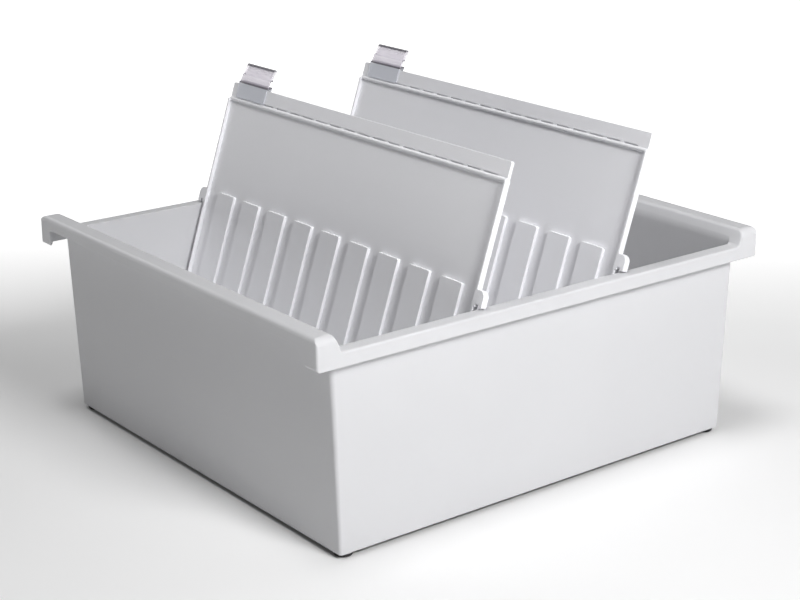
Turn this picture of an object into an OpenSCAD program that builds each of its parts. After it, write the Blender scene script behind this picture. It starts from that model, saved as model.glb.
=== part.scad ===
// Card index tray for A4 landscape cards: a moulded trough with raised end rims,
// two leaning support plates that slide on the side rims, and a clear tab on each plate.
// The origin is on the table, under the middle of the tray. +Y points from front to back.

/* [Tray] */
// Width across the rim
rim_w = 330; // [300:1:380]
// Length across the rim, front to back
rim_l = 362; // [320:1:420]
// Height of the raised front and rear rims above the table
rim_top = 145; // [125:1:170]
// Drop from the raised rims to the side rims
side_drop = 11; // [9:0.5:16]
// Overhang of the side rims past the walls
side_overhang = 7.45; // [6.5:0.05:12]
// Overhang of the front and rear rims past the walls
end_overhang = 14.45; // [13:0.05:20]
// Lean of the front and rear walls, in degrees
end_draft = 2.35; // [0.5:0.05:4]
// Lean of the side walls, in degrees
side_draft = 0.4; // [0.1:0.05:1.5]
// Thickness of the walls
wall = 2.4; // [1.6:0.1:3]
// Thickness of the floor
floor_t = 2; // [1.8:0.1:4]
// Outer corner radius of the walls, at the rim
wall_corner = 3; // [1:0.1:8]
// Outer corner radius of the walls, at the bottom
bottom_corner = 2; // [1:0.1:6]
// Inner corner radius of the walls
inner_corner = 0.8; // [0.3:0.1:3]
// Bevel where the floor meets the walls inside
floor_bevel = 2.5; // [1:0.1:4]
// Bevel round the outside of the bottom
bottom_bevel = 0.6; // [0.3:0.1:0.9]

/* [Rim] */
// Thickness of the rim's top and skirt
rim_t = 2.1; // [1.6:0.1:2.6]
// Depth of the side skirts below the side rims' top
skirt_h = 9.4; // [7:0.1:16]
// Height of the band across the front and rear rims
band_h = 8.5; // [5:0.1:10]
// Width of the hooked ends beside the finger cut-outs
hook_w = 13; // [11:0.5:30]
// Radius at the hooked ends' lower corners, beside the cut-outs
hook_r = 4; // [1:0.5:6]
// Radius at the hooked ends' lower corners, seen from the side
skirt_corner = 3; // [1:0.5:5]
// Radius at the upper corners of the finger cut-outs
cutout_r = 2; // [0.5:0.5:3]
// Length of a raised rim, from its end to the middle of the step
raised_l = 15.5; // [14.5:0.1:24]
// Lean of the step, in degrees
step_slope = 22; // [0:1:30]
// Radius where a raised rim rolls over into the step
step_top_r = 3.5; // [3:0.1:4]
// Radius where the step runs out onto the side rim
step_foot_r = 3; // [2:0.1:4]
// Radius at the rim's upright corners
rim_corner = 1.8; // [0.5:0.1:8]
// Radius along the raised rims' outer top edges
raised_edge = 3; // [2.7:0.1:5]
// Radius over the raised rims' ends
raised_end = 6; // [2.7:0.1:8]
// Radius along the skirts' lower edges
skirt_edge = 0.7; // [0.3:0.1:1]
// Outward flare of the raised rims' inner faces
flare = 2.4; // [1:0.1:4]

/* [Feet] */
// Diameter of a rubber foot
foot_d = 12; // [8:0.5:20]
// Height of a foot below the bottom
foot_h = 2.8; // [1.5:0.1:6]
// Depth of the seat that a foot sits in
foot_seat = 0.6; // [0.3:0.1:1.2]
// Clearance round a foot in its seat
foot_gap = 0.15; // [0.05:0.05:0.5]
// Distance from the bottom's left and right edges to a foot's middle
foot_side_inset = 6.9; // [6.8:0.1:30]
// Distance from the bottom's front and rear edges to a foot's middle
foot_end_inset = 7; // [6.8:0.1:30]
// Radius round a foot's lower edge
foot_edge = 1.6; // [0.4:0.1:2]

/* [Support plates] */
// Lean of the plates from upright, in degrees
lean = 18.5; // [8:0.5:24]
// Length of a plate along its slope, with its rail
plate_h = 225.9; // [205:0.1:250]
// Where the front plate's foot stands, from the middle of the tray
front_plate_y = -96.3; // [-120:0.1:-70]
// Distance between the two plates
plate_spacing = 117.8; // [90:0.1:130]
// Gap between a plate's edge and the tray's wall
side_gap = 2.85; // [1.2:0.05:6]
// How much narrower a plate's foot is, each side
foot_taper = 2.8; // [0:0.1:8]
// Thickness of a plate's panel
panel_t = 1.5; // [1.2:0.1:2.2]
// Depth of the flanges along a plate's edges
flange_d = 4.2; // [4:0.1:6]
// Thickness of the flanges
flange_t = 1.6; // [1.2:0.1:3]
// How far an ear reaches past the plate's edge
ear_reach = 7.3; // [6:0.1:9]
// Height of an ear
ear_h = 10.6; // [8:0.1:16]
// Radius at an ear's upper corner
ear_r = 4.5; // [1:0.5:5]
// Radius at an ear's lower corner
ear_foot_r = 1; // [0.3:0.1:1.5]
// Width of the notch under an ear, over the rim's inner edge
notch_w = 2.8; // [2:0.1:4]
// Height of that notch
notch_h = 2; // [1:0.1:4]
// Clearance between sliding pieces
slide_gap = 0.3; // [0.2:0.05:0.6]

/* [Plate relief] */
// Number of raised pads on a plate
pad_count = 9; // [5:1:11]
// Width of a pad
pad_w = 20.4; // [10:0.1:22]
// Distance from the plate's edges to the outermost pads
pad_edge = 15.1; // [4:0.1:40]
// Height of the pads' upper ends along the plate
pad_top = 146.9; // [100:0.1:180]
// Height of the pads' lower ends along the plate
pad_foot = 8; // [3:0.5:30]
// How far a pad stands out of the panel
pad_rise = 2.2; // [0.6:0.1:2.4]
// Radius at a pad's corners
pad_r = 1; // [0.5:0.1:4]

/* [Rail] */
// Height of the rail along a plate's top
rail_h = 10.4; // [8:0.1:16]
// Thickness of the rail
rail_t = 2.4; // [2:0.1:3]
// How far the rail's ends stay inside the plate's edges
rail_inset = 0.5; // [0:0.1:3]
// Radius at the rail's upper corners
rail_r = 1.5; // [0.5:0.1:3]
// Radius of the bead under the rail
bead_r = 1.35; // [0.9:0.05:1.6]
// How far the bead stands out of the rail's face
bead_out = 0.9; // [0.4:0.1:1.2]
// Number of tab slots
slot_count = 18; // [6:2:24]
// Distance from the rail's ends to the middle of its outermost bridges
slot_edge = 7.8; // [5:0.1:40]
// Width of the bridges between the slots
slot_bridge = 3.4; // [2:0.1:6]
// Height of a slot
slot_h = 1; // [0.6:0.1:2]
// Depth of a slot
slot_d = 1; // [0.6:0.1:1.5]

/* [Tabs] */
// Width of a tab
tab_w = 35.6; // [20:0.1:60]
// Thickness of the clear sheet
tab_t = 0.7; // [0.6:0.05:1]
// How far the clip's upper front edge stands above the rail
tab_rise = 1.7; // [1.2:0.1:4]
// Length of the leaf above the clip
tab_h = 12.7; // [10:0.1:25]
// Lean of the leaf, past the plate's own
tab_lean = 9.5; // [0:0.5:15]
// Narrowing of the leaf's upper edge, each side
tab_taper = 1.1; // [0:0.1:4]
// Length of the flap that is folded over behind the leaf
tab_flap = 6.6; // [3:0.1:7]
// How far the flap closes on the leaf, in degrees
tab_close = 8; // [0:0.5:9]
// Inner radius of the fold
tab_fold = 0.7; // [0.7:0.05:1.2]
// Radius of the bead along the flap's end
tab_bead = 0.6; // [0.4:0.05:0.6]
// Radius at the clip's lower corners
tab_r = 1.5; // [0.5:0.1:3]
// Length of the clip's rear leg
tab_rear_leg = 8; // [4:0.1:9]
// Distance from the rail's left end to the tab
tab_inset = 7.2; // [1:0.1:60]

/* [Hidden] */
$fn = 48;
corner_fn = 32;
past = 1;
thin = 0.01;

side_top = rim_top - side_drop;
skirt_z = side_top - skirt_h;
floor_z = foot_h + floor_t;

// Middles of the step's two radii, from the riser that passes half way up
step_y = rim_l / 2 - raised_l;
step_mid_z = (rim_top + side_top) / 2;
step_roll_z = rim_top - step_top_r;
step_foot_z = side_top + step_foot_r;
step_roll_y = step_y + (step_roll_z - step_mid_z) * tan(step_slope) + step_top_r / cos(step_slope);
step_foot_y = step_y + (step_foot_z - step_mid_z) * tan(step_slope) - step_foot_r / cos(step_slope);

// Outer half sizes of the walls where they meet the side rims' top, and at the bottom
wall_x = rim_w / 2 - side_overhang;
wall_y = rim_l / 2 - end_overhang;
bottom_x = wall_x - (side_top - foot_h) * tan(side_draft);
bottom_y = wall_y - (side_top - foot_h) * tan(end_draft);
function wall_x_at(z) = wall_x - (side_top - z) * tan(side_draft);
function wall_y_at(z) = wall_y - (side_top - z) * tan(end_draft);
function flare_y_at(z) = wall_y + flare * (z - side_top) / side_drop;

plate_x = wall_x - wall - side_gap;
plate_foot_x = plate_x - foot_taper;
plate_z = floor_z + slide_gap;
ear_v = (side_top + slide_gap - plate_z) / cos(lean);
rail_v = plate_h - rail_h;
bead_v = rail_v - bead_r;
pad_pitch = (2 * (plate_x - pad_edge) - pad_w) / (pad_count - 1);
rail_x = plate_x - rail_inset;
slot_pitch = 2 * (rail_x - slot_edge) / slot_count;
tab_x = -rail_x + tab_inset + tab_w / 2;

// Section of a tab's clip: its foot and front, its back, and the heights of its level top's edges
clip_foot_v = rail_v + slide_gap;
clip_front = rail_t + slide_gap;
clip_back = -slide_gap - tab_t;
clip_front_v = plate_h + tab_rise;
clip_back_v = clip_front_v + (clip_front + tab_t - clip_back) * tan(lean);

tray_colour = [0.83, 0.83, 0.84];
plate_colour = [0.74, 0.74, 0.76];
tab_colour = [0.62, 0.60, 0.66, 0.7];
rubber_colour = [0.07, 0.07, 0.08];

// Rectangle between two corners, with its own radius at each: lower left, lower right,
// upper right, upper left
module pane(a, b, r) {
    polygon(concat(
        r[0] > 0 ? [[a.x, a.y + r[0]], [a.x + r[0], a.y]] : [a],
        r[1] > 0 ? [[b.x - r[1], a.y], [b.x, a.y + r[1]]] : [[b.x, a.y]],
        r[2] > 0 ? [[b.x, b.y - r[2]], [b.x - r[2], b.y]] : [b],
        r[3] > 0 ? [[a.x + r[3], b.y], [a.x, b.y - r[3]]] : [[a.x, b.y]]));
    if (r[0] > 0) translate([a.x + r[0], a.y + r[0]]) circle(r[0]);
    if (r[1] > 0) translate([b.x - r[1], a.y + r[1]]) circle(r[1]);
    if (r[2] > 0) translate([b.x - r[2], b.y - r[2]]) circle(r[2]);
    if (r[3] > 0) translate([a.x + r[3], b.y - r[3]]) circle(r[3]);
}

// Outline in Y and Z, drawn out along X
module along_x(length) {
    rotate([90, 0, 90]) linear_extrude(length, center = true) children();
}

// Outline in X and Z, drawn out along Y
module along_y(length) {
    rotate([90, 0, 0]) linear_extrude(length, center = true) children();
}

// Smooth skin through rounded rectangles, each given by its height, half sizes and corner radius
module drafted_box(levels) {
    hull()
        for (level = levels, sx = [-1, 1], sy = [-1, 1])
            translate([sx * (level[1] - level[3]), sy * (level[2] - level[3]), level[0]])
                cylinder(h = thin, r = level[3], $fn = corner_fn);
}

// Outside of the four walls, up to just below the side rims' top
module walls_outside() {
    low = foot_h + bottom_bevel;
    high = side_top - rim_t / 2;
    drafted_box([[foot_h, bottom_x - bottom_bevel, bottom_y - bottom_bevel, bottom_corner],
                 [low, wall_x_at(low), wall_y_at(low), bottom_corner],
                 [high, wall_x_at(high), wall_y_at(high), wall_corner]]);
}

// Space inside the walls, open at the top
module cavity() {
    r = inner_corner;
    z = floor_z + floor_bevel;
    in = wall + floor_bevel;
    high = rim_top + past;
    drafted_box([[floor_z, wall_x_at(floor_z) - in, wall_y_at(floor_z) - in, r],
                 [z, wall_x_at(z) - wall, wall_y_at(z) - wall, r],
                 [side_top, wall_x - wall, wall_y - wall, r]]);
    drafted_box([[side_top - thin, wall_x - wall, wall_y - wall, r],
                 [high, wall_x - wall, flare_y_at(high) - wall, r]]);
}

// Wall behind the flared inner faces of the raised rims
module flared_walls() {
    z = side_top - rim_t;
    drafted_box([[z, wall_x_at(z), wall_y_at(z), wall_corner],
                 [side_top, wall_x, wall_y, wall_corner]]);
    drafted_box([[side_top - thin, wall_x, wall_y, wall_corner],
                 [rim_top, wall_x, flare_y_at(rim_top), wall_corner]]);
}

// Side view of the rim, moved inwards by a thickness, with the steps up to the raised rims
module rim_side(inset) {
    low = inset > 0 ? skirt_z - past : skirt_z;
    low_r = inset > 0 ? 0 : skirt_corner;
    top = side_top - inset;
    foot = [step_foot_y, step_foot_z];
    roll = [step_roll_y, step_roll_z];
    across = [cos(step_slope), -sin(step_slope)];
    translate([-step_foot_y, low]) square([2 * step_foot_y, top - low]);
    for (end = [0, 1]) mirror([end, 0]) {
        difference() {
            polygon([[foot.x - past, low], [roll.x + past, low], [roll.x + past, rim_top - inset],
                     [roll.x, rim_top - inset], roll - (step_top_r - inset) * across,
                     foot + (step_foot_r + inset) * across, [foot.x, top], [foot.x - past, top]]);
            translate(foot) circle(step_foot_r + inset);
        }
        translate(roll) circle(step_top_r - inset);
        pane([roll.x, low], [rim_l / 2 - inset, rim_top - inset], [0, low_r, raised_edge - inset, 0]);
    }
}

// Front view of the raised rims, with rounded upper corners
module rim_front(inset) {
    r = raised_end - inset;
    pane([-rim_w / 2 + inset, skirt_z - (inset > 0 ? past : 0)], [rim_w / 2 - inset, rim_top - inset],
         inset > 0 ? [0, 0, r, r] : [skirt_edge, skirt_edge, r, r]);
}

// Plan of the rim
module rim_plan(inset) {
    r = rim_corner - inset;
    pane([-rim_w / 2 + inset, -rim_l / 2 + inset], [rim_w / 2 - inset, rim_l / 2 - inset], [r, r, r, r]);
}

// Solid rim, or the hollow under it when moved inwards
module rim_block(inset) {
    intersection() {
        translate([0, 0, skirt_z - 2 * past]) linear_extrude(rim_top) rim_plan(inset);
        along_x(rim_w + past) rim_side(inset);
        along_y(rim_l + past) rim_front(inset);
    }
}

// Finger cut-out under the band of a raised rim, with the hooked ends' rounded corners
module finger_cutout() {
    x = rim_w / 2 - hook_w;
    along_y(rim_l + 2 * past) {
        pane([-x, skirt_z - past], [x, rim_top - band_h], [0, 0, cutout_r, cutout_r]);
        for (side = [0, 1]) mirror([side, 0]) difference() {
            translate([x - thin, skirt_z - past]) square([hook_r + thin, hook_r + past]);
            translate([x + hook_r, skirt_z + hook_r]) circle(hook_r);
        }
    }
}

module at_feet() {
    for (sx = [-1, 1], sy = [-1, 1])
        translate([sx * (bottom_x - foot_side_inset), sy * (bottom_y - foot_end_inset), 0]) children();
}

module tray() {
    color(tray_colour) difference() {
        union() {
            rim_block(0);
            walls_outside();
        }
        difference() {
            union() {
                rim_block(rim_t);
                difference() {
                    finger_cutout();
                    cube([rim_w + past, rim_l - 2 * (rim_t + past), 2 * (rim_top + past)], center = true);
                }
            }
            walls_outside();
            flared_walls();
        }
        cavity();
        at_feet() translate([0, 0, foot_h - past]) cylinder(h = foot_seat + past, r = foot_d / 2 + foot_gap);
    }
}

// Rubber foot, seated in the bottom at one corner
module foot(sx, sy) {
    color(rubber_colour)
        translate([sx * (bottom_x - foot_side_inset), sy * (bottom_y - foot_end_inset), 0])
            rotate_extrude()
                pane([0, 0], [foot_d / 2, foot_h + foot_seat], [0, foot_edge, 0, 0]);
}

// Stands a shape that is drawn flat, with its front face up, at a plate's place
module stand(y) {
    translate([0, y, plate_z]) rotate([90 - lean, 0, 0]) children();
}

// Outline of a plate's panel, moved in from its side edges, and drawn out past its ends
module plate_outline(edge, extra) {
    foot = plate_foot_x - edge;
    side = plate_x - edge;
    polygon([[-foot, -extra], [foot, -extra], [side, ear_v], [side, bead_v + extra],
             [-side, bead_v + extra], [-side, ear_v]]);
}

// Ear that rides on a side rim, with the notch that passes the rim's inner edge
module ear() {
    difference() {
        pane([plate_x - flange_t, ear_v], [plate_x + ear_reach, ear_v + ear_h], [0, ear_foot_r, ear_r, 0]);
        translate([wall_x - wall - notch_w / 2, ear_v - past]) square([notch_w, notch_h + past]);
    }
}

module pads() {
    for (i = [0 : pad_count - 1]) {
        x = (i - (pad_count - 1) / 2) * pad_pitch;
        pane([x - pad_w / 2, pad_foot], [x + pad_w / 2, pad_top], [pad_r, pad_r, pad_r, pad_r]);
    }
}

// Row of slots along the foot of the rail, with a bridge at every tab place
module tab_slots() {
    for (i = [0 : slot_count - 1])
        translate([(i - (slot_count - 1) / 2) * slot_pitch, rail_v + slot_h / 2])
            square([slot_pitch - slot_bridge, slot_h], center = true);
}

// Ramps from the bead up to the rail's face, one on every bridge
module slot_ramps() {
    for (i = [0 : slot_count])
        translate([(i - slot_count / 2) * slot_pitch, 0, 0])
            along_x(slot_bridge - 2 * slide_gap)
                polygon([[bead_v, rail_t / 2], [clip_foot_v, rail_t / 2], [clip_foot_v, rail_t],
                         [bead_v, rail_t + bead_out]]);
}

// Support plate, drawn flat with its front face up
module plate() {
    color(plate_colour) difference() {
        union() {
            linear_extrude(panel_t) plate_outline(0, 0);
            linear_extrude(flange_d) difference() {
                plate_outline(0, 0);
                plate_outline(flange_t, past);
            }
            linear_extrude(flange_d) for (side = [0, 1]) mirror([side, 0]) ear();
            linear_extrude(panel_t + pad_rise) pads();
            linear_extrude(rail_t)
                pane([-rail_x, bead_v - bead_r], [rail_x, plate_h], [0, 0, rail_r, rail_r]);
            translate([0, bead_v, rail_t + bead_out - bead_r]) rotate([0, 90, 0])
                cylinder(h = 2 * (plate_x - flange_t / 2), r = bead_r, center = true);
            slot_ramps();
        }
        translate([0, 0, rail_t - slot_d]) linear_extrude(flange_d) tab_slots();
    }
}

// Leaf of a tab with its fold and the flap behind, drawn upwards from its foot along X
module tab_leaf() {
    r = tab_fold + tab_t;
    square([tab_h, tab_t]);
    translate([tab_h, -tab_fold]) {
        intersection() {
            difference() {
                circle(r);
                circle(tab_fold);
            }
            union() {
                translate([0, -r]) square([r, 2 * r]);
                rotate(-tab_close) translate([0, -r]) square([r, 2 * r]);
            }
        }
        rotate(-tab_close) {
            translate([-tab_flap, -r]) square([tab_flap, tab_t]);
            translate([-tab_flap, -tab_fold - tab_t / 2]) circle(tab_bead);
        }
    }
}

// Section of a tab: a clip over the rail, with a level top, and the leaf that rises from its front
module tab_section() {
    front = clip_front + tab_t;
    inner = clip_back + tab_t;
    top_t = tab_t / cos(lean);
    polygon([[clip_foot_v, clip_front], [clip_front_v + tab_t * tan(lean) - top_t, clip_front],
             [clip_back_v - tab_t * tan(lean) - top_t, inner], [clip_back_v - tab_rear_leg, inner],
             [clip_back_v - tab_rear_leg, clip_back], [clip_back_v, clip_back],
             [clip_front_v, front], [clip_foot_v, front]]);
    translate([clip_front_v, clip_front - tab_t]) rotate(-tab_lean) tab_leaf();
}

// Front view of a tab: the clip with rounded lower corners, and the leaf that narrows upwards
module tab_front() {
    clip_x = tab_w / 2;
    top = clip_back_v + tab_h + tab_fold;
    pane([-clip_x, clip_foot_v], [clip_x, clip_back_v], [tab_r, tab_r, 0, 0]);
    polygon([[-clip_x, clip_foot_v + tab_r], [clip_x, clip_foot_v + tab_r], [clip_x, clip_back_v],
             [clip_x - tab_taper, top], [-clip_x + tab_taper, top], [-clip_x, clip_back_v]]);
}

// Clear tab, drawn in the plate's flat position
module tab() {
    color(tab_colour) translate([tab_x, 0, 0]) intersection() {
        along_x(tab_w) tab_section();
        linear_extrude(plate_h, center = true) tab_front();
    }
}

tray();
foot(-1, -1);  // foot_front_left
foot(1, -1);  // foot_front_right
foot(-1, 1);  // foot_rear_left
foot(1, 1);  // foot_rear_right
stand(front_plate_y) plate();  // front_plate
stand(front_plate_y + plate_spacing) plate();  // rear_plate
stand(front_plate_y) tab();  // front_tab
stand(front_plate_y + plate_spacing) tab();  // rear_tab
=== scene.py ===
"""Looks of a card index tray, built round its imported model.

Mouldings with softened edges, clear tabs, rubber feet and a pale studio.
"""

import math

import bmesh
import bpy
from mathutils import Matrix, Vector


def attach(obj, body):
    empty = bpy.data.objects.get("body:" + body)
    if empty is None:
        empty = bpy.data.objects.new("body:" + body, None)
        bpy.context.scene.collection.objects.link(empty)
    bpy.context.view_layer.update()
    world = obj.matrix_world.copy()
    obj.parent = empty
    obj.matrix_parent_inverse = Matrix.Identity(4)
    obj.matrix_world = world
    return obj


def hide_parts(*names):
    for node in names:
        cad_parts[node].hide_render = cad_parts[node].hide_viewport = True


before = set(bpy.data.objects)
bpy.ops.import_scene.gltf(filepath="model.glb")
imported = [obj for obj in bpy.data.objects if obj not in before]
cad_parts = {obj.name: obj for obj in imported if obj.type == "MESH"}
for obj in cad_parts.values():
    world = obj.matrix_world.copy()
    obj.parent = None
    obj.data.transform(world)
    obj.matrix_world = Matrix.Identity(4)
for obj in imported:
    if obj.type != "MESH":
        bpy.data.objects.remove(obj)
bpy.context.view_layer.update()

MM = 0.001
RANGE_KEYS = ("From Min", "From Max", "To Min", "To Max")

# Softening: distance at which points join, and angles in degrees of flat, rounded and shaded edges
JOIN_DISTANCE = 0.02 * MM
FLAT_ANGLE = 1
RIM_ANGLE = 12
EDGE_ANGLE = 32
SHADE_ANGLE = 35
RIM_SEGMENTS = 5
EDGE_SEGMENTS = 3

# Radii of the rounded edges
TRAY_RADIUS = 0.35 * MM
RIM_RADIUS = 1.4 * MM
FOOT_RADIUS = 0.2 * MM
PLATE_RADIUS = 0.3 * MM
TAB_RADIUS = 0.12 * MM

# Where the rounded outer edges of the tray's side rims lie: past these two, and before the third
RIM_EDGE_X = 158.5 * MM
RIM_EDGE_Z = 133.5 * MM
RIM_EDGE_Y = 170.5 * MM

# Heights between which the plates' tab slots lie, and how far the row reaches to each side
SLOTS_FOOT = 209.0 * MM
SLOTS_TOP = 211.5 * MM
SLOTS_REACH = 147 * MM

# Camera of the photograph
CAMERA_PLACE = (0.949243, -0.728157, 0.486289)
CAMERA_AZIMUTH = 52.307
CAMERA_ELEVATION = 18.412
CAMERA_ROLL = -0.334
CAMERA_LENS = 82.263
CAMERA_SENSOR = 36

# Colours of the materials, linear
TRAY_TONES = ((0.650, 0.651, 0.668), (0.666, 0.667, 0.684))
PLATE_TONES = ((0.906, 0.907, 0.934), (0.920, 0.921, 0.948))
RUBBER_TONES = ((0.012, 0.012, 0.013), (0.026, 0.026, 0.028))
TAB_CLIP = (0.88, 0.90, 0.96, 0.62)
TAB_LEAF = (0.78, 0.73, 0.82, 0.56)
TAB_DOUBLE = (0.87, 0.82, 0.91, 0.35)
# Painted shade of the tabs: dark bands at the joint and the fold, and at the bead's ends
TAB_PAINTED_SHADE = (0.18, 0.17, 0.20, 0.75)

# Noises of the materials: scale, detail and roughness
MOULD_GRAIN = (2400, 2, 0.65)
MOULD_WAVES = (45, 2, 0.5)
MOULD_CLOUD = (11, 3, 0.5)
MOULD_SCUFFS = (3, 4, 0.6)
RUBBER_GRAIN = (1900, 3, 0.7)
RUBBER_DUST = (160, 3, 0.5)
SHEET_HAZE = (260, 3, 0.5)
SHEET_RIPPLE = (90, 1, 0.5)
FLOOR_CLOUD = (3, 2, 0.5)

# Parts of the noises' range that are spread out
NOISE_BAND = (0.3, 0.7)
SCUFF_BAND = (0.35, 0.65)

# Stretch of the scuffs along each axis, and how much they change the roughness
SCUFF_STRETCH = (38, 38, 420)
SCUFF_CHANGE = 0.03

# Roughness of the materials, and the plastics' refraction
TRAY_ROUGHNESS = 0.38
PLATE_ROUGHNESS = 0.40
RUBBER_ROUGHNESS = (0.62, 0.85)
SHEET_ROUGHNESS = (0.12, 0.24)
FLOOR_ROUGHNESS = 0.9
MOULD_IOR = 1.48
SHEET_IOR = 1.49

# Relief of the materials: depth and strength
TRAY_RELIEF = (0.030 * MM, 0.6)
PLATE_RELIEF = (0.022 * MM, 0.6)
WAVE_RELIEF = (0.10 * MM, 0.5)
RUBBER_RELIEF = (0.06 * MM, 0.7)
RIPPLE_RELIEF = (0.03 * MM, 0.4)

# Tint of the tabs by height in millimetres: the clip, painted shade on the line where the leaf joins it,
# the leaf, its upper part with the flap behind, and painted shade along the fold
TAB_TINTS = [
    (216.0, TAB_CLIP), (220.7, TAB_CLIP), (221.2, TAB_PAINTED_SHADE), (221.9, TAB_PAINTED_SHADE), (222.3, TAB_LEAF),
    (225.9, TAB_LEAF), (226.5, TAB_DOUBLE), (232.2, TAB_DOUBLE), (232.7, TAB_PAINTED_SHADE), (236.0, TAB_PAINTED_SHADE),
]

# Bead of the tabs, with painted shade at its ends: its height, its radius, and how squarely an end faces
# sideways
TAB_BEAD = 226.5 * MM
TAB_BEAD_R = 0.65 * MM
TAB_END_FACING = 0.9

# Studio lights: name, place, diameter and power, and the place that they face
LIGHTS = [
    ("key", (1.25, -0.05, 0.95), 0.5, 16.6),
    ("top", (0.1, -0.55, 2.8), 1.0, 28.5),
    ("left", (-2.4, 0, 1.1), 1.4, 6),
    ("back", (0.5, 2.4, 1.1), 2.0, 7),
]
LIGHT_AIM = Vector((0, 0, 0.1))
WORLD_STRENGTH = 0.04
WHITE = (1, 1, 1, 1)

# Floor, with a painted glow behind the tray and far from it: its size and tones, and the distances between
# which its glow rises from low to high
FLOOR_SIZE = 120
FLOOR_TONES = ((0.82, 0.82, 0.82), (0.84, 0.84, 0.84))
GLOW_WAY = (-0.79, 0.61, 0)
GLOW_START = 0.05
GLOW_FULL = 0.8
GLOW_LOW = 0.04
GLOW_HIGH = 1.0
FAR_START = 1.0
FAR_FULL = 2.1


def copy_node(node, name):
    """A new object with the same mesh as a CAD node."""
    piece = bpy.data.objects.new(name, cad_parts[node].data.copy())
    bpy.context.scene.collection.objects.link(piece)
    return piece


def in_slots(place):
    """True for places in the band of the plates' tab slots."""
    return SLOTS_FOOT < place.z < SLOTS_TOP and abs(place.x) < SLOTS_REACH


def folds(mesh, angle):
    """Outer edges of a mesh that are sharper than an angle in degrees, without those of the tab slots."""
    return [e for e in mesh.edges if e.is_convex and e.calc_face_angle(0) > math.radians(angle)
            and not all(in_slots(v.co) for v in e.verts)]


def on_rim(edge):
    """True for the edges along the outside of the tray's side rims and up their steps."""
    return all(abs(v.co.x) > RIM_EDGE_X and v.co.z > RIM_EDGE_Z and abs(v.co.y) < RIM_EDGE_Y
               for v in edge.verts)


def round_off(mesh, edges, radius, segments):
    """Rounds some edges of a mesh."""
    bmesh.ops.bevel(mesh, geom=edges, offset=radius, segments=segments, profile=0.5,
                    affect="EDGES", clamp_overlap=False)


def soften(piece, radius, rim_radius):
    """Joins the mesh, merges its flat faces and rounds its sharp edges, inside its own box."""
    low = [min(v.co[axis] for v in piece.data.vertices) for axis in range(3)]
    high = [max(v.co[axis] for v in piece.data.vertices) for axis in range(3)]
    mesh = bmesh.new()
    mesh.from_mesh(piece.data)
    bmesh.ops.remove_doubles(mesh, verts=mesh.verts, dist=JOIN_DISTANCE)
    bmesh.ops.dissolve_limit(mesh, angle_limit=math.radians(FLAT_ANGLE), verts=mesh.verts,
                             edges=mesh.edges)
    if rim_radius:
        round_off(mesh, [e for e in folds(mesh, RIM_ANGLE) if on_rim(e)], rim_radius, RIM_SEGMENTS)
    round_off(mesh, folds(mesh, EDGE_ANGLE), radius, EDGE_SEGMENTS)
    for vertex in mesh.verts:
        vertex.co = [min(max(c, a), b) for c, a, b in zip(vertex.co, low, high)]
    mesh.to_mesh(piece.data)
    mesh.free()
    for face in piece.data.polygons:
        face.use_smooth = True
    piece.data.set_sharp_from_angle(angle=math.radians(SHADE_ANGLE))
    normals = piece.modifiers.new("normals", "WEIGHTED_NORMAL")
    normals.keep_sharp = True


def feed(tree, socket, value):
    """Sets a socket or, where the value is a socket too, links it."""
    if isinstance(value, bpy.types.NodeSocket):
        tree.links.new(value, socket)
    else:
        socket.default_value = value


def add(tree, kind, **values):
    """A node with values for its inputs, each under the input's name in small letters."""
    node = tree.nodes.new(kind)
    for name, value in values.items():
        feed(tree, node.inputs[name.title()], value)
    return node


def math_node(tree, operation, *values):
    """The result of a sum on sockets or numbers."""
    node = tree.nodes.new("ShaderNodeMath")
    node.operation = operation
    for socket, value in zip(node.inputs, values):
        feed(tree, socket, value)
    return node.outputs[0]


def noise(tree, place, scale, detail, rough):
    """The value of a noise."""
    node = add(tree, "ShaderNodeTexNoise", vector=place, scale=scale, detail=detail, roughness=rough)
    return node.outputs[0]


def map_range(tree, value, start, end, low, high, form="LINEAR"):
    """A value between a start and an end mapped to a range from low to high."""
    node = add(tree, "ShaderNodeMapRange", value=value)
    node.interpolation_type = form
    for key, limit in zip(RANGE_KEYS, (start, end, low, high)):
        node.inputs[key].default_value = limit
    return node.outputs[0]


def ramp(tree, value, low, high):
    """A noise value mapped to a blend of two colours."""
    node = add(tree, "ShaderNodeValToRGB", fac=value)
    for stop, place, colour in zip(node.color_ramp.elements, NOISE_BAND, (low, high)):
        stop.position = place
        stop.color = (*colour, 1)
    return node.outputs[0]


def bump(tree, height, depth, strength):
    """A bump from a height."""
    return add(tree, "ShaderNodeBump", height=height, distance=depth, strength=strength)


def new_material(name):
    """A material with its node tree, its shader and the places on the object."""
    material = bpy.data.materials.new(name)
    material.use_nodes = True
    tree = material.node_tree
    place = tree.nodes.new("ShaderNodeTexCoord").outputs["Object"]
    return material, tree, tree.nodes["Principled BSDF"], place


def moulded(name, tones, roughness, grain_relief):
    """Moulded plastic: spark grain, slight flow waves, a little tone variation, faint scuffs."""
    material, tree, shader, place = new_material(name)
    feed(tree, shader.inputs["Base Color"], ramp(tree, noise(tree, place, *MOULD_CLOUD), *tones))
    stretched = add(tree, "ShaderNodeMapping", vector=place, scale=SCUFF_STRETCH).outputs[0]
    scuffs = noise(tree, stretched, *MOULD_SCUFFS)
    gloss = map_range(tree, scuffs, *SCUFF_BAND, roughness - SCUFF_CHANGE, roughness + SCUFF_CHANGE)
    feed(tree, shader.inputs["Roughness"], gloss)
    waves = bump(tree, noise(tree, place, *MOULD_WAVES), *WAVE_RELIEF)
    grain = bump(tree, noise(tree, place, *MOULD_GRAIN), *grain_relief)
    feed(tree, grain.inputs["Normal"], waves.outputs[0])
    feed(tree, shader.inputs["Normal"], grain.outputs[0])
    shader.inputs["IOR"].default_value = MOULD_IOR
    return material


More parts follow.
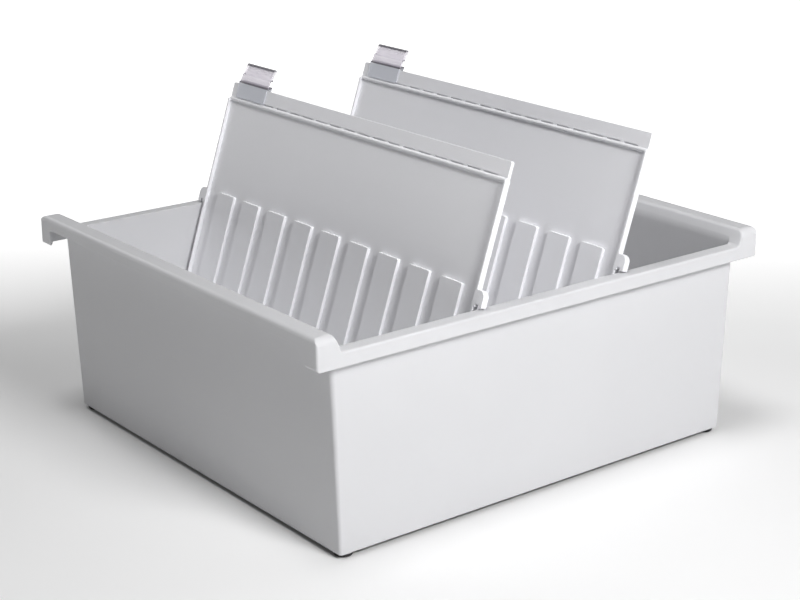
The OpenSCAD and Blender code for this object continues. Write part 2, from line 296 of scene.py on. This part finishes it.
def rubber(name, tones):
    """Black rubber with a dusty, grained skin."""
    material, tree, shader, place = new_material(name)
    dust = noise(tree, place, *RUBBER_DUST)
    grain = bump(tree, noise(tree, place, *RUBBER_GRAIN), *RUBBER_RELIEF)
    feed(tree, shader.inputs["Base Color"], ramp(tree, dust, *tones))
    feed(tree, shader.inputs["Roughness"], map_range(tree, dust, *NOISE_BAND, *RUBBER_ROUGHNESS))
    feed(tree, shader.inputs["Normal"], grain.outputs[0])
    return material


def tab_tint(tree, height):
    """The tint of the tabs at a height."""
    foot, top = TAB_TINTS[0][0], TAB_TINTS[-1][0]
    level = map_range(tree, height, foot * MM, top * MM, 0, 1)
    tint = add(tree, "ShaderNodeValToRGB", fac=level)
    stops = tint.color_ramp.elements
    stops[0].color = TAB_TINTS[0][1]
    stops[1].color = TAB_TINTS[-1][1]
    for line, colour in TAB_TINTS[1:-1]:
        stops.new((line - foot) / (top - foot)).color = colour
    return tint


def painted_shade_at_bead_ends(tree, height):
    """Mask of painted shade: one at the ends of the tabs' bead, zero elsewhere."""
    facing = tree.nodes.new("ShaderNodeNewGeometry").outputs["True Normal"]
    sideways = add(tree, "ShaderNodeSeparateXYZ", vector=facing).outputs["X"]
    on_end = math_node(tree, "GREATER_THAN", math_node(tree, "ABSOLUTE", sideways), TAB_END_FACING)
    on_bead = math_node(tree, "COMPARE", height, TAB_BEAD, TAB_BEAD_R)
    return math_node(tree, "MULTIPLY", on_end, on_bead)


def clear_sheet(name):
    """Tinted clear sheet with a slight haze, and painted shade along its fold, its joint and the ends of
    its bead.
    """
    material, tree, shader, place = new_material(name)
    height = add(tree, "ShaderNodeSeparateXYZ", vector=place).outputs["Z"]
    tint = tab_tint(tree, height)
    # Painted shade: the tint darkens the joint and the fold, and this mask darkens the bead's sideways
    # ends
    painted_shade = painted_shade_at_bead_ends(tree, height)
    shade = add(tree, "ShaderNodeMixRGB", fac=painted_shade, color1=tint.outputs["Color"], color2=TAB_PAINTED_SHADE)
    haze = noise(tree, place, *SHEET_HAZE)
    ripple = bump(tree, noise(tree, place, *SHEET_RIPPLE), *RIPPLE_RELIEF)
    feed(tree, shader.inputs["Base Color"], shade.outputs[0])
    feed(tree, shader.inputs["Alpha"], math_node(tree, "MAXIMUM", tint.outputs["Alpha"], painted_shade))
    feed(tree, shader.inputs["Roughness"], map_range(tree, haze, *NOISE_BAND, *SHEET_ROUGHNESS))
    feed(tree, shader.inputs["Normal"], ripple.outputs[0])
    shader.inputs["IOR"].default_value = SHEET_IOR
    return material


def painted_glow_floor(name):
    """Pale paper with a painted glow, emission that rises behind the tray and far from it."""
    material, tree, shader, place = new_material(name)
    feed(tree, shader.inputs["Base Color"], ramp(tree, noise(tree, place, *FLOOR_CLOUD), *FLOOR_TONES))
    shader.inputs["Roughness"].default_value = FLOOR_ROUGHNESS
    shader.inputs["Emission Color"].default_value = WHITE
    glows = []
    for measure, start, full in (("DOT_PRODUCT", GLOW_START, GLOW_FULL), ("LENGTH", FAR_START, FAR_FULL)):
        distance = tree.nodes.new("ShaderNodeVectorMath")
        distance.operation = measure
        feed(tree, distance.inputs[0], place)
        if measure == "DOT_PRODUCT":
            distance.inputs[1].default_value = GLOW_WAY
        glow = map_range(tree, distance.outputs["Value"], start, full, GLOW_LOW, GLOW_HIGH, "SMOOTHSTEP")
        glows.append(glow)
    # Painted glow: emission strength, the larger of the glow behind the tray and the glow far from it
    feed(tree, shader.inputs["Emission Strength"], math_node(tree, "MAXIMUM", *glows))
    return material


# Material of every slot
MATERIALS = {
    "tray_plastic": moulded("tray_moulding", TRAY_TONES, TRAY_ROUGHNESS, TRAY_RELIEF),
    "plate_plastic": moulded("plate_moulding", PLATE_TONES, PLATE_ROUGHNESS, PLATE_RELIEF),
    "foot_rubber": rubber("foot_moulding", RUBBER_TONES),
    "tab_plastic": clear_sheet("tab_sheet"),
}

# Node, body, slot and edge radii of every piece
ENDS = ("front", "rear")
SIDES = ("left", "right")
PIECES = [
    ("tray", "base", "tray_plastic", TRAY_RADIUS, RIM_RADIUS),
    *[(f"foot_{end}_{side}", "base", "foot_rubber", FOOT_RADIUS, 0) for end in ENDS for side in SIDES],
    *[(f"{end}_plate", f"{end}_support", "plate_plastic", PLATE_RADIUS, 0) for end in ENDS],
    *[(f"{end}_tab", f"{end}_marker", "tab_plastic", TAB_RADIUS, 0) for end in ENDS],
]
for node, body, slot, radius, rim_radius in PIECES:
    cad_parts[node].data.materials.clear()
    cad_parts[node].data.materials.append(MATERIALS[slot])
    piece = copy_node(node, node + "_skin")
    soften(piece, radius, rim_radius)
    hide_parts(node)
    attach(piece, body)

# Camera
camera = bpy.data.objects.new("camera", bpy.data.cameras.new("camera"))
camera.data.lens = CAMERA_LENS
camera.data.sensor_width = CAMERA_SENSOR
camera.matrix_world = (Matrix.Translation(CAMERA_PLACE)
                       @ Matrix.Rotation(math.radians(CAMERA_AZIMUTH), 4, "Z")
                       @ Matrix.Rotation(math.radians(90 - CAMERA_ELEVATION), 4, "X")
                       @ Matrix.Rotation(math.radians(CAMERA_ROLL), 4, "Z"))
bpy.context.scene.collection.objects.link(camera)
bpy.context.scene.camera = camera

# Floor
bpy.ops.mesh.primitive_plane_add(size=FLOOR_SIZE)
floor = bpy.context.object
floor.name = "floor"
floor.data.materials.append(painted_glow_floor("floor"))

# Light
world = bpy.data.worlds.new("studio")
bpy.context.scene.world = world
world.use_nodes = True
world.node_tree.nodes["Background"].inputs["Color"].default_value = WHITE
world.node_tree.nodes["Background"].inputs["Strength"].default_value = WORLD_STRENGTH
bpy.context.scene.view_settings.view_transform = "Standard"
for name, spot, diameter, power in LIGHTS:
    light = bpy.data.lights.new(name, "AREA")
    light.shape = "DISK"
    light.size = diameter
    light.energy = power
    lamp = bpy.data.objects.new(name, light)
    lamp.location = spot
    lamp.rotation_euler = (LIGHT_AIM - Vector(spot)).to_track_quat("-Z", "Y").to_euler()
    bpy.context.scene.collection.objects.link(lamp)
